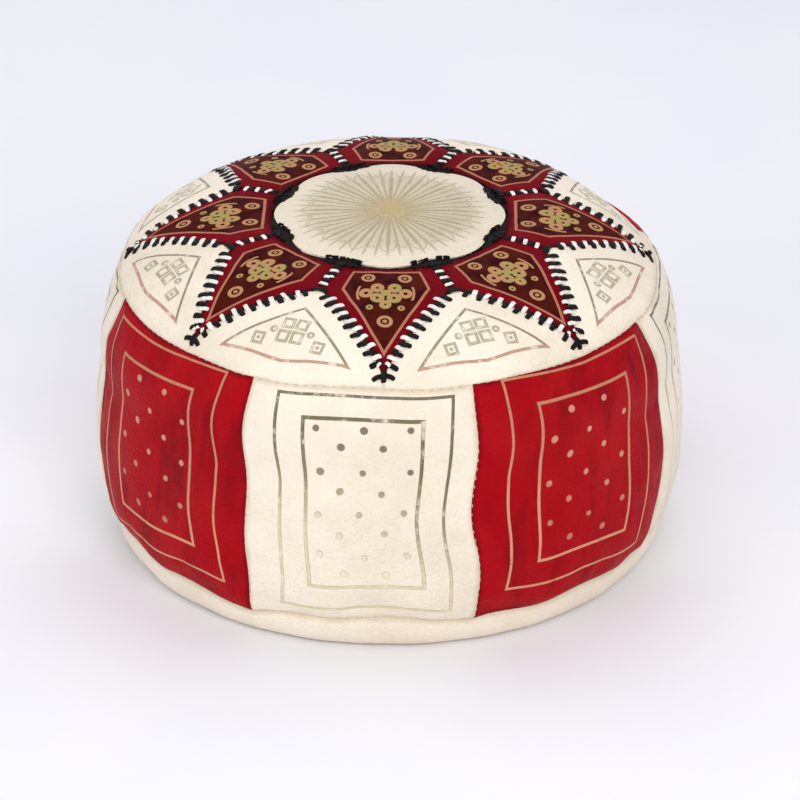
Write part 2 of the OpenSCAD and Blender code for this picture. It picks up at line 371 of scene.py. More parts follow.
PATCHES = {"medallion": medallion_patch()}
for number in range(1, POINTS + 1):
    PATCHES[f"star_point_{number}"] = star_patch(number)
    PATCHES[f"cream_wedge_{number}"] = wedge_patch(number)
    PATCHES[f"side_panel_{number}"] = panel_patch(number)


def sunk(patch, rest):
    """A patch's points, moved in to its seams at the borders and by rest everywhere."""
    p = patch.points
    out = grid_normals(p)
    total = np.zeros(p.shape[:2])
    move = np.zeros_like(p)
    for distance, (depth, direction) in zip(border_distances(p), patch.borders):
        weight = smooth(1 - distance / patch.roll) ** 1.5
        total += weight
        move += (weight * depth)[..., None] * (direction(p) if direction else out)
    left = rest * np.clip(1 - total, 0, 1)
    return p - move / np.maximum(total, 1)[..., None] - out * left[..., None]


# ------------------------------------------------------------------ stuffing the cover

FRAMES = 20
SEWN_FRAME = 10
LUMPS = 0.0014          # unevenness of the filling under the leather
INWARD_LEFT = 0.2       # share of the simulation's inward steps that is kept
REST = {"side_panel": 0.003, "cream_wedge": 0.001, "star_point": 0.001, "medallion": 0.0005}


def kind(name):
    return name.rstrip("0123456789_")


def soften(a, rounds):
    """Evens a grid out inside its borders."""
    for _ in range(rounds):
        near = a[:-2, 1:-1] + a[2:, 1:-1] + a[1:-1, :-2] + a[1:-1, 2:]
        a[1:-1, 1:-1] = 0.5 * a[1:-1, 1:-1] + 0.125 * near
    return a


def stuff():
    """Blows the cut leather up between its seams, by a cloth simulation, and returns the grids."""
    grids = {name: sunk(patch, REST[kind(name)]) for name, patch in PATCHES.items()}
    for seed, (name, p) in enumerate(grids.items()):
        inside = smooth(np.minimum.reduce(border_distances(p)) / 0.03)
        p += grid_normals(p) * (LUMPS * inside * noise_at(p, 24, seed))[..., None]
    moved = blow_up(grids)
    for name, p in grids.items():
        step = soften(moved[name] - p, 2)
        out = grid_normals(p)
        inwards = np.minimum((step * out).sum(-1, keepdims=True), 0)
        step -= (1 - INWARD_LEFT) * inwards * out
        size = np.linalg.norm(step, axis=-1, keepdims=True) + 1e-9
        cap = PATCHES[name].cap
        grids[name] = p + step / size * cap * np.tanh(size / cap)
    return grids


def all_points(grids):
    return np.concatenate([p.reshape(-1, 3) for p in grids])


def all_faces(grids):
    """Faces of several grids that are gathered into one mesh."""
    first = np.cumsum([0] + [p[..., 0].size for p in grids])
    return np.concatenate([quads(*p.shape[:2], flip=turns_in(p)) + i for i, p in zip(first, grids)])


def cut_larger(name, p):
    middle = p.reshape(-1, 3).mean(0)
    return middle + (p - middle) * (1 + PATCHES[name].slack)


def cloth_settings(cloth):
    modifier = cloth.modifiers.new("Cloth", "CLOTH")
    s = modifier.settings
    s.quality = 6
    s.mass = 0.02
    s.air_damping = 2
    s.tension_stiffness = s.compression_stiffness = 40
    s.shear_stiffness = 20
    s.bending_stiffness = 0.5
    s.tension_damping = s.compression_damping = s.shear_damping = 15
    s.vertex_group_mass = "pinned"
    s.use_pressure = True
    s.uniform_pressure_force = 15
    s.effector_weights.gravity = 0
    modifier.collision_settings.use_collision = False
    modifier.point_cache.frame_start = 1
    modifier.point_cache.frame_end = FRAMES


def cloth_object(grids):
    """All the cut pieces as one cloth, with a shape key that draws their borders in to the seams."""
    cut = all_points([cut_larger(name, p) for name, p in grids.items()])
    sewn = all_points(grids.values())
    pins = np.concatenate([on_border(p.shape[:2]).ravel() for p in grids.values()])
    mesh = bpy.data.meshes.new("cover_cloth")
    mesh.from_pydata(cut.tolist(), [], all_faces(grids.values()).tolist())
    cloth = bpy.data.objects.new("cover_cloth", mesh)
    bpy.context.scene.collection.objects.link(cloth)
    cloth.shape_key_add(name="cut")
    key = cloth.shape_key_add(name="sewn")
    key.data.foreach_set("co", sewn.astype(np.float32).ravel())
    for value, when in ((0, 1), (1, SEWN_FRAME)):
        key.value = value
        key.keyframe_insert("value", frame=when)
    cloth.vertex_groups.new(name="pinned").add(np.flatnonzero(pins).tolist(), 1.0, "REPLACE")
    return cloth


def blow_up(grids):
    cloth = cloth_object(grids)
    cloth_settings(cloth)
    for f in range(1, FRAMES + 1):
        bpy.context.scene.frame_set(f)
    found = np.empty(sum(p.size for p in grids.values()), np.float32)
    evaluated = cloth.evaluated_get(bpy.context.evaluated_depsgraph_get())
    evaluated.data.vertices.foreach_get("co", found)
    bpy.context.scene.frame_set(1)
    mesh = cloth.data
    bpy.data.objects.remove(cloth)
    bpy.data.meshes.remove(mesh)
    for action in list(bpy.data.actions):
        bpy.data.actions.remove(action)
    ends = np.cumsum([p.size for p in grids.values()])[:-1]
    return {name: q.reshape(p.shape).astype(float)
            for (name, p), q in zip(grids.items(), np.split(found, ends))}


# ------------------------------------------------------------------ creases

# height and spacing of the gathers at a seam, and how far they run
PLEATS = {"side_panel": (0.0011, 62, 0.022), "cream_wedge": (0.0006, 70, 0.012),
          "star_point": (0.0004, 80, 0.010), "medallion": (0.0003, 60, 0.012)}
DENTS = {"side_panel": 0.0016, "cream_wedge": 0.0007, "star_point": 0.0006, "medallion": 0.0007}


def creased(name, p, flat, seed):
    """The refined grid with short gathers along its seams and slow dents between them."""
    height, spacing, reach = PLEATS[kind(name)]
    near = border_distances(p)
    inside = smooth(np.minimum.reduce(near) / 0.004)
    along_v = np.stack([flat[..., 0] * 0.12, flat[..., 1]], -1)
    along_u = np.stack([flat[..., 0], flat[..., 1] * 0.12], -1)
    lift = np.zeros(p.shape[:2])
    for distance, grain in ((np.minimum(*near[:2]), along_v), (np.minimum(*near[2:]), along_u)):
        lift += height * np.exp(-distance / reach) * noise_at(grain, spacing, seed)
    lift += DENTS[kind(name)] * noise_at(p, 11, seed + 40)
    return p + grid_normals(p) * (lift * inside)[..., None]


# ------------------------------------------------------------------ pieces

SHARP = math.radians(55)


def new_piece(name, points, faces, slot, body="pouf"):
    mesh = bpy.data.meshes.new(name)
    mesh.from_pydata(np.asarray(points).reshape(-1, 3).tolist(), [], [list(map(int, f)) for f in faces])
    mesh.polygons.foreach_set("use_smooth", [True] * len(mesh.polygons))
    mesh.set_sharp_from_angle(angle=SHARP)
    piece = bpy.data.objects.new(name, mesh)
    bpy.context.scene.collection.objects.link(piece)
    piece.data.materials.append(MATERIALS[slot])
    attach(piece, body)
    return piece


def add_uv(piece, flat):
    """Lays a UV map, in metres, from a flat point for each vertex."""
    mesh = piece.data
    corners = np.empty(len(mesh.loops), np.int32)
    mesh.loops.foreach_get("vertex_index", corners)
    layer = mesh.uv_layers.new(name="flat")
    layer.data.foreach_set("uv", flat.reshape(-1, 2)[corners].astype(np.float32).ravel())


def add_edge(piece, distance):
    """Stores each vertex's distance from the nearest seam, for darkening the colour towards the seams.
    """
    piece.data.attributes.new("edge", "FLOAT", "POINT").data.foreach_set("value", distance.ravel())


def border_loop(rows, columns, wrap):
    """Indices round a grid's edge, as closed loops with the grid on their left."""
    i = np.arange(rows * columns).reshape(rows, columns)
    if wrap:
        return [i[:, 0], i[::-1, -1]]
    return [np.concatenate([i[:-1, 0], i[-1, :-1], i[:0:-1, -1], i[0, :0:-1]])]


def sheet_piece(name, outer, thickness, slot, flat=None, wrap=False):
    """A sheet made of an outer surface, the same surface further in, and a rim between them."""
    rows, columns = outer.shape[:2]
    flip = turns_in(outer, wrap)
    inner = outer - grid_normals(outer, wrap) * thickness
    count = rows * columns
    top = quads(rows, columns, wrap, flip)
    faces = list(top) + list(top[:, ::-1] + count)
    for loop in border_loop(rows, columns, wrap):
        rim = np.stack([loop + count, np.roll(loop, -1) + count, np.roll(loop, -1), loop], -1)
        faces += list(rim[:, ::-1] if flip else rim)
    piece = new_piece(name, np.concatenate([outer.reshape(-1, 3), inner.reshape(-1, 3)]), faces, slot)
    if flat is not None:
        add_uv(piece, np.concatenate([flat.reshape(-1, 2)] * 2))
    near = border_distances(outer)[2:] if wrap else border_distances(outer)
    add_edge(piece, np.concatenate([np.minimum.reduce(near).ravel()] * 2).astype(np.float32))
    return piece


def longest_line(grid, axis):
    return float(np.linalg.norm(np.diff(grid, axis=axis), axis=-1).sum(axis).max())


def declare_sheet(grid):
    """Measures a stretched sheet's size and area from its own grid; nothing is done with them."""
    size = [longest_line(grid, axis) for axis in (0, 1)]
    a, b = np.diff(grid, axis=0)[:, :-1], np.diff(grid, axis=1)[:-1]
    area = float(np.linalg.norm(np.cross(a, b), axis=-1).sum())
    area = min(max(area, 0.3 * size[0] * size[1]), size[0] * size[1])


# degrees, and metres to the left and down, by which each side panel's stamp is off its middle
FRAME_TURN = {1: (0.0, -0.004, 0.0), 2: (2.5, 0.0, -0.011), 3: (1.2, 0.001, 0.0),
              4: (-1.5, 0.002, 0.001), 5: (0.7, -0.002, 0.0), 6: (1.6, 0.001, -0.001),
              7: (-1.0, 0.0, 0.0), 8: (-3.0, 0.0, -0.009)}


def declare_ring(grid):
    """Measures the width of a sheet that goes round the pouf; nothing is done with it."""
    width = longest_line(grid, 1)


def panel_number(name):
    return int(name.split("_")[-1])


def stamped(name, flat):
    """Where the stamp falls on a piece of leather: each side panel's is a little off."""
    if kind(name) != "side_panel":
        return flat
    degrees, dx, dy = FRAME_TURN[panel_number(name)]
    c, s = math.cos(math.radians(degrees)), math.sin(math.radians(degrees))
    return flat @ np.array([[c, -s], [s, c]]).T + np.array([dx, dy])


def leather_of(name):
    """The slot and the material of a piece of the cover."""
    if kind(name) == "star_point":
        return "oxblood_leather", "oxblood_leather"
    if kind(name) != "side_panel":
        return "cream_leather", kind(name)
    if panel_number(name) % 2 == 0:
        return "red_leather", "red_leather"
    return "cream_leather", "cream_panel"


def make_cover(grids):
    """The leather pieces of the top and the sides; returns their finished outer surfaces."""
    finished = {}
    for seed, (name, p) in enumerate(grids.items()):
        flat = refine(PATCHES[name].flat)
        outer = creased(name, refine(p), flat, seed)
        slot, material = leather_of(name)
        piece = sheet_piece(f"{name}_leather", outer, LEATHER, slot, stamped(name, flat))
        piece.data.materials[0] = MATERIALS[material]
        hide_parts(name)
        declare_sheet(outer)
        finished[name] = outer
    return finished


# ------------------------------------------------------------------ laces and threads

class Straps:
    """Flat straps and round threads that are gathered into one mesh."""

    def __init__(self):
        self.points, self.faces, self.flat, self.count = [], [], [], 0

    def add(self, path, up, widths, thickness, sides=8):
        """One strap along a path, with its flat side towards up."""
        path, up = np.asarray(path), np.asarray(up)
        ahead = np.gradient(path, axis=0)
        across = np.cross(ahead, up)
        across /= np.linalg.norm(across, axis=-1, keepdims=True) + 1e-12
        angle = 2 * math.pi * (np.arange(sides) + 0.5) / sides
        x = np.sign(np.cos(angle)) * np.abs(np.cos(angle)) ** 0.6 / 2
        z = np.sign(np.sin(angle)) * np.abs(np.sin(angle)) ** 0.7 * thickness / 2
        widths = np.broadcast_to(widths, len(path))
        rings = (path[:, None] + across[:, None] * (x[None, :, None] * widths[:, None, None])
                 + up[:, None] * z[None, :, None])
        i = self.count + np.arange(len(path) * sides).reshape(len(path), sides)
        j = np.roll(i, -1, axis=1)
        self.faces += np.stack([i[:-1], j[:-1], j[1:], i[1:]], -1).reshape(-1, 4).tolist()
        self.faces += [i[0, ::-1].tolist(), i[-1].tolist()]
        run = np.concatenate([[0], np.cumsum(np.linalg.norm(np.diff(path, axis=0), axis=1))])
        flat = np.broadcast_arrays(x * widths.max(), run[:, None])
        self.flat.append(np.stack(flat, -1).reshape(-1, 2))
        self.points.append(rings.reshape(-1, 3))
        self.count += rings.shape[0] * sides

    def piece(self, name, slot, *nodes):
        made = new_piece(name, np.concatenate(self.points), self.faces, slot)
        add_uv(made, np.concatenate(self.flat))
        if nodes:
            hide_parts(*nodes)
        return made


STITCH_W = 0.0046       # width and thickness of a lace
STITCH_T = 0.0011
STITCH_STEPS = 8
EDGE_STITCHES = 9       # black laces along a star point's long edge
RADIAL_STITCHES = 6     # laces between two star points


def from_above(tree, x, y):
    """The leather's surface and its normal under a point in plan, or beside it at a hairline gap."""
    for reach in (0.0, 0.0006, 0.0014, 0.0026):
        for turn in np.arange(0.3, 2 * math.pi, math.pi / 4):
            start = Vector((x + reach * math.cos(turn), y + reach * math.sin(turn), 1.0))
            hit, normal, _, _ = tree.ray_cast(start, Vector((0, 0, -1)))
            if hit:
                return np.array((x, y, hit.z)), np.array(normal)
    raise ValueError(f"no leather under {x:.4f}, {y:.4f}")


def turned(p, a):
    """Where a flat point of the top lies in plan, if its second coordinate runs outwards at an angle."""
    turn = a + math.atan2(p[0], p[1])
    return in_plan(settled_r(math.hypot(*p), turn), turn, 0.0)[:2]


def stitch(straps, tree, a, start, end, width, rise=0.0008, ends=0.62):
    """A lace over the top between two flat points at an angle, through the leather at both ends."""
    start, end = turned(start, a), turned(end, a)
    path, up, widths = [], [], []
    for s in np.linspace(0, 1, STITCH_STEPS):
        x, y = start + (end - start) * s
        p, n = from_above(tree, x, y)
        arch = math.sin(math.pi * s) ** 0.45
        path.append(p + n * (rise * arch + (arch - 1) * 0.0014 + STITCH_T * 0.35))
        up.append(n)
        widths.append(width * (ends + (1 - ends) * arch))
    straps.add(path, up, np.array(widths), STITCH_T)


def lace_edge(black, white, tree, a, mirror, rng):
    """Black and white laces in turn over one long edge of a star point, whose axis is at an angle."""
    tip, apex = np.array([0, TIP_R]), np.array(APEX_FLAT)
    edge = apex - tip
    length = np.linalg.norm(edge)
    edge = edge / length
    out = np.array([-edge[1], edge[0]])
    out = out if out[1] > 0 else -out
    pitch = (length - 0.0125) / EDGE_STITCHES
    flip = np.array([mirror, 1])
    kinds = ((black, -0.0045, 0.0078, 1.12), (white, -0.0062, 0.0042, 0.9))
    for k in range(2 * EDGE_STITCHES - 1):
        straps, near, far, share = kinds[k % 2]
        s = 0.010 + (k / 2) * pitch + rng.normal(0, 0.0004)
        slant = rng.normal(0.0012, 0.0006)
        width = STITCH_W * rng.uniform(0.9, 1.15) * share
        at = tip + edge * s
        inner = at + out * (near + rng.normal(0, 0.0006)) - edge * slant
        outer = at + out * (far + rng.normal(0, 0.0007)) + edge * slant
        stitch(straps, tree, a, inner * flip, outer * flip, width)


def lace_radial(black, white, tree, a, rng):
    """The short seam between two star points, and the large stitch where they part."""
    for k in range(RADIAL_STITCHES):
        straps, half = ((black, 0.0050), (white, 0.0046))[k % 2]
        r = INNER_R + 0.0075 + k * 0.0048
        lean = rng.normal(0, 0.0008)
        stitch(straps, tree, a, (-half, r - lean), (half, r + lean), 0.0038)
    r = APEX_R + 0.0015
    stitch(black, tree, a, (-0.0075, r + 0.0015), (0.0075, r - 0.001), 0.0062, 0.0012)


def lace_tip(black, white, tree, a, rng):
    """The laces that end in a small arrow at a star point's tip."""
    r = TIP_R
    for side in (-1, 1):
        barb = (side * 0.0098, r + 0.0026 + rng.normal(0, 0.0006))
        stitch(black, tree, a, (side * 0.0005, r - 0.0015), barb, 0.0044)
        stitch(white, tree, a, (side * 0.0012, r - 0.0100), (side * 0.0080, r - 0.0052), 0.0036)
    stitch(black, tree, a, (0, r - 0.0045), (rng.normal(0, 0.0006), r + 0.0038), 0.0050)


def lace_notch(black, tree, a, rng):
    """The black leather that tapers away on both sides of a notch, laced to the medallion."""
    for side in (-1, 1):
        path, up = [], []
        bends = np.linspace(0.6, 20.0, 24)
        reach = 0.62 + 0.25 * rng.random()
        for bend in bends:
            r = MEDALLION_R - 0.0040 + 0.0040 * smooth(bend / 20) + rng.normal(0, 0.0002)
            p, n = from_above(tree, *turned((0, r), a + side * math.radians(bend * reach)))
            path.append(p + n * 0.0012)
            up.append(n)
        widths = 0.0135 * (1 - (bends - 0.6) / 23) ** 0.7 + rng.normal(0, 0.0005, len(bends))
        black.add(path, up, widths, 0.0020)
        for k, bend in enumerate((1.8, 4.9, 8.0)):
            b = a + side * math.radians(bend + rng.normal(0, 0.4))
            lean = side * 0.0016
            end = (lean, MEDALLION_R - 0.0105 + 0.0016 * k + rng.normal(0, 0.0006))
            stitch(black, tree, b, (-lean, MEDALLION_R - 0.001), end, 0.0062, 0.0014, 0.5)
            end = (-lean, INNER_R + 0.0042 - 0.0012 * k + rng.normal(0, 0.0005))
            stitch(black, tree, b, (lean, INNER_R - 0.003), end, 0.0060, 0.0014, 0.5)


def make_laces(grids):
    rng = np.random.default_rng(7)
    top = [p for name, p in grids.items() if kind(name) != "side_panel"] + [notch_ring()]
    tree = BVHTree.FromPolygons(all_points(top).tolist(), all_faces(top).tolist())
    black, white = Straps(), Straps()
    for i in range(POINTS):
        a = TURN + i * SECTOR
        for mirror in (-1, 1):
            lace_edge(black, white, tree, a, mirror, rng)
        lace_radial(black, white, tree, a + HALF, rng)
        lace_tip(black, white, tree, a, rng)
        lace_notch(black, tree, a + HALF, rng)
    black.piece("black_laces", "black_lace", "black_lacing")
    white.piece("white_laces", "white_lace", "white_lacing")


def notch_ring():
    """The outer surface of the black leather under the notches."""
    reach = np.linspace(INNER_R - 0.015, INNER_R + 0.012, 12)
    a, r = np.meshgrid(np.linspace(0, 2 * math.pi, 193), reach, indexing="ij")
    p = dome(r, a)
    outer_dip = 0.0016 * smooth((r - INNER_R) / 0.005)
    inner_dip = 0.0016 * smooth((MEDALLION_R - 0.01 - r) / 0.004)
    p[..., 2] -= 0.0040 + outer_dip + inner_dip
    return p


def make_notch_ring():
    p = notch_ring()[:-1]
    piece = sheet_piece("notch_leather", p, 0.001, "black_leather", wrap=True)
    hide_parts("underlay_ring")
    declare_ring(p)


def running_stitches(straps, path, out, length=0.0050, gap=0.0030, radius=0.0005, proud=-0.0002,
                     seed=1):
    """Short threads in a row along a path, each of which dips at its ends."""
    rng = np.random.default_rng(seed)
    step = np.linalg.norm(np.diff(path, axis=0), axis=1)
    run = np.concatenate([[0], np.cumsum(step)])
    at = gap
    while at + length < run[-1]:
        s = at + length * np.linspace(0, 1, 5) + rng.normal(0, 0.0002)
        p = np.stack([np.interp(s, run, path[:, i]) for i in range(3)], -1)
        n = np.stack([np.interp(s, run, out[:, i]) for i in range(3)], -1)
        dip = np.array([-1.6, -0.2, 0, -0.2, -1.6])[:, None] * radius
        straps.add(p + n * (proud + dip), n, 2 * radius, 2 * radius, 6)
        at += length + gap


def make_threads(grids):
    rim, sides, base = Straps(), Straps(), Straps()
    for k in range(1, POINTS + 1):
        p = grids[f"side_panel_{k}"]
        running_stitches(rim, p[:, -1], rim_out(p[:, -1]), seed=k)
        running_stitches(base, p[:, 0], base_out(p[:, 0]), seed=20 + k)
        seam = p[-1]
        radial = in_plan(1.0, np.arctan2(seam[:, 0], -seam[:, 1]), 0.0)
        running_stitches(sides, seam, radial, seed=40 + k)
    rim.piece("rim_stitches", "seam_thread", "rim_seam_thread")
    sides.piece("side_stitches", "seam_thread", "side_seam_threads")
    base.piece("base_stitches", "seam_thread", "base_seam_thread")


# ------------------------------------------------------------------ underside

def make_band():
    """The cream band that turns under from the base seam to the flat of the underside."""
    turn, v = np.meshgrid(np.linspace(0, 2 * math.pi, 257)[:-1], smooth_shares(26, 0.3), indexing="ij")
    seam = in_plan(BASE_R, turn, base_z(turn))
    seam -= BASE_SEAM[0] * base_out(seam)
    corner = 0.72                   # the share of the width that rises from the floor
    bend = np.clip(v / corner, 0, 1) * math.pi / 2
    r_seam = plan_radius(seam)
    puff = 0.0026 * np.sin(2 * bend) ** 0.8 + 0.0012 * noise_at(seam, 30, 3) * np.sin(2 * bend)
    r = FOOT_R + (r_seam - FOOT_R) * np.cos(bend) + puff
    z = seam[..., 2] * (1 - np.sin(bend)) - puff * 0.35
    r = np.where(v > corner, FOOT_R - (FOOT_R - BAND_R - 0.0004) * (v - corner) / (1 - corner), r)
    pleat = 0.0009 * noise_at(np.stack([turn * BASE_R, v * 0.01], -1), 70, 9)
    pleat *= np.exp(-v / 0.25) * smooth(v / 0.06)
    outer = in_plan(r + pleat, turn, np.maximum(z, 0.0001))
    flat = np.stack([turn * BASE_R, v * 0.06], -1)
    piece = sheet_piece("base_band_leather", outer, LEATHER, "cream_leather", flat, wrap=True)
    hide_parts("base_band")
    declare_ring(outer)


SLOPE_W = 0.014         # width of the slope round the recess over the zip
TRAY_X = SLOT + 0.012   # half the recess's length and width
TRAY_Y = 0.014


def tray(x, y, grow=0.0):
    """How much of the recess over the zip there is at a point in plan, from 0 to 1."""
    dx = np.maximum(np.abs(x) - TRAY_X - grow, 0)
    dy = np.maximum(np.abs(y) - TRAY_Y - grow, 0)
    return 1 - np.clip(np.hypot(dx, dy) / SLOPE_W, 0, 1)


def half_grid(side):
    """Outer surface of half the underside, from its straight edge to the band."""
    columns = np.concatenate([np.linspace(-1, -SLOT / BAND_R - 0.001, 14),
                              np.linspace(-SLOT / BAND_R, SLOT / BAND_R, 58),
                              np.linspace(SLOT / BAND_R + 0.001, 1, 14)])
    s, v = np.meshgrid(columns, np.linspace(0, 1, 30) ** 1.7, indexing="ij")
    near = np.where(np.abs(s) <= SLOT / BAND_R, SLOT_W, SEAM_GAP)
    far_angle = s * math.radians(88)
    near_p = np.stack([s * BAND_R * 0.998, near], -1)
    far_p = np.stack([BAND_R * np.sin(far_angle), BAND_R * np.cos(far_angle)], -1)
    flat = between(near_p, far_p, v)
    x, y = flat[..., 0], flat[..., 1] * side
    z = RECESS_Z * smooth(tray(x, y))
    sag = 0.0008 * (1 + noise_at(flat, 18, 5 + side)) * smooth(plan_radius(flat) / 0.05)
    sag *= 1 - tray(x, y)
    edge = smooth((BAND_R - plan_radius(flat)) / 0.012) * smooth(np.abs(y) / 0.02)
    valley = 0.0018 * smooth(1 - np.abs(y) / 0.007) * (1 - tray(x, y))
    return np.stack([x, y, z + sag * edge + valley], -1), flat


def sew_down(threads, row, side, inset, length, gap, radius):
    """Stitches on the underside, at a distance from the straight edge that row follows."""
    row = row + np.array([0, side * inset, 0])
    down = np.broadcast_to([0, 0, -1.0], row.shape)
    running_stitches(threads, row, down, length, gap, radius, 0.0001)


def make_halves():
    """The two halves of the underside, with the zip between them, and their stitches."""
    threads = Straps()
    for side, which in ((-1, "front"), (1, "back")):
        outer, flat = half_grid(side)
        piece = sheet_piece(f"base_leather_{which}", outer, LEATHER, "cream_leather", flat)
        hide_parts(f"base_half_{which}")
        declare_sheet(outer)
        slot_row = np.abs(outer[:, 0, 0]) <= SLOT + 0.001
        for inset in (0.0028, 0.0058):
            sew_down(threads, outer[slot_row, 0], side, inset, 0.0030, 0.0014, 0.0004)
        for end in (-1, 1):
            row = outer[end * outer[:, 0, 0] > SLOT + 0.001, 0]
            sew_down(threads, row, side, 0.003, 0.0040, 0.0020, 0.0005)
    threads.piece("zip_stitches", "seam_thread")


# ------------------------------------------------------------------ lining and filling

LINING_IN = 0.0105      # depths of the lining and the filling below the leather's outer surface
CORE_IN = 0.0125
COTTON = 0.0008         # thickness of the lining
CORE_LUMPS = 0.0022
CORE_MIDDLE = np.array([0, 0, 0.13])


def make_lining():
    """The cotton bag inside the leather: its top, its bottom and its side."""
    flat = disc(44)
    ripple = 0.0005 * (noise_at(flat, 9, 2) - 1)
    flat_top = flat * (RIM_R - 0.014)
    top = on_dome(flat_top, 0.0)
    top[..., 2] += ripple - LINING_IN
    make_lining_piece("lining_top", top, flat_top, "liner_top")
    low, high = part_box("liner_bottom")
    flat_low = flat * (FOOT_R - 0.004)
    rise = smooth(tray(flat_low[..., 0], flat_low[..., 1], 0.004) * 1.3)
    z = low.z + 0.001 + (high.z - low.z - 0.001) * rise
    bottom = np.stack([flat_low[..., 0], flat_low[..., 1], z], -1)
    make_lining_piece("lining_bottom", bottom, flat_low, "liner_bottom")
    turn, v = np.meshgrid(np.linspace(0, 2 * math.pi, 193)[:-1], np.linspace(0, 1, 40), indexing="ij")
    z = RIM_Z - 0.016 + (low.z + 0.004 - RIM_Z + 0.016) * v
    ripple = 0.0006 * noise_at(in_plan(1, turn, z * 9), 3, 8)
    side_line = in_plan(core_r(z, LINING_IN) + ripple, turn, z)
    flat = np.stack([turn * 0.25, z], -1)
    piece = sheet_piece("lining_side", side_line, COTTON, "lining_cotton", flat, wrap=True)
    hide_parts("liner_side")
    longest_line(side_line, 1)


def make_lining_piece(name, grid, flat, node):
    piece = sheet_piece(name, grid, COTTON, "lining_cotton", flat)
    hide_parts(node)
    declare_sheet(grid)


def core_r(z, inset):
    """Radius of the side at a height, moved in, with the turn to the foot below the base seam."""
    t = (z - BASE_Z) / (RIM_Z - BASE_Z)
    foot = np.clip((BASE_Z - z) / BASE_Z, 0, 1)
    turn_in = (BASE_R - FOOT_R) * (1 - np.sqrt(1 - foot ** 2))
    waist = BELLY_PULL * np.sin(math.pi * np.clip(t, 0, 1))
    return np.where(t > 0, side_r(np.maximum(t, 0)) - waist, BASE_R - turn_in) - inset


def make_core():
    """The loose filling, packed to the shape of the bag, lumpy, and hollow over the zip."""
    turn = np.linspace(0, 2 * math.pi, 129)[:-1]
    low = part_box("stuffing")[0].z + 0.0006
    crown_r = np.linspace(0.02, RIM_R - 0.022, 14)
    wall_z = np.linspace(RIM_Z - 0.022, low + 0.010, 20)
    floor_r = np.linspace(FOOT_R - CORE_IN, 0.03, 34)
    rings = [dome(r, turn) - np.array([0, 0, CORE_IN]) for r in crown_r]
    rings += [in_plan(core_r(np.array(z), CORE_IN), turn, z) for z in wall_z]
    rings += [in_plan(r, turn, low) for r in floor_r]
    p = np.stack(rings, 1)
    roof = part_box("liner_bottom")[1].z + 0.0014
    over_zip = smooth(tray(p[..., 0], p[..., 1], 0.006) * 1.3)
    is_floor = np.arange(p.shape[1]) >= len(crown_r) + len(wall_z)
    p[..., 2] = np.where(is_floor, low + (roof - low) * over_zip, p[..., 2])
    lump = (0.5 + 0.5 * noise_at(p, 20, 12))[..., None] * CORE_LUMPS
    inwards = (CORE_MIDDLE - p) / np.linalg.norm(CORE_MIDDLE - p, axis=-1, keepdims=True)
    p += inwards * lump * np.where(is_floor, 0.0, 1.0)[None, :, None]
    count = p.shape[0] * p.shape[1]
    poles = [[0, 0, p[:, 0, 2].mean()], [0, 0, roof]]
    faces = quads(*p.shape[:2], wrap=True, flip=turns_in(p, True)).tolist()
    i = np.arange(count).reshape(p.shape[:2])
    for column, pole, flip in ((i[:, 0], count, False), (i[:, -1], count + 1, True)):
        fan = np.stack([column, np.roll(column, -1), np.full_like(column, pole)], -1)
        faces += (fan[:, ::-1] if flip else fan).tolist()
    piece = new_piece("stuffing_core", np.concatenate([p.reshape(-1, 3), poles]), faces, "filling")
    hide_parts("stuffing")


# ------------------------------------------------------------------ materials

class Field:
    """A number or vector at each point of a surface, made by shader nodes."""

    def __init__(self, shader, socket):
        self.shader, self.socket = shader, socket

    def __rsub__(self, other):
        return self.shader.math("SUBTRACT", other, self)


def operator(operation):
    return lambda a, b: a.shader.math(operation, a, b)


Field.__add__ = Field.__radd__ = operator("ADD")
Field.__mul__ = Field.__rmul__ = operator("MULTIPLY")
Field.__sub__ = operator("SUBTRACT")
Field.__truediv__ = operator("DIVIDE")


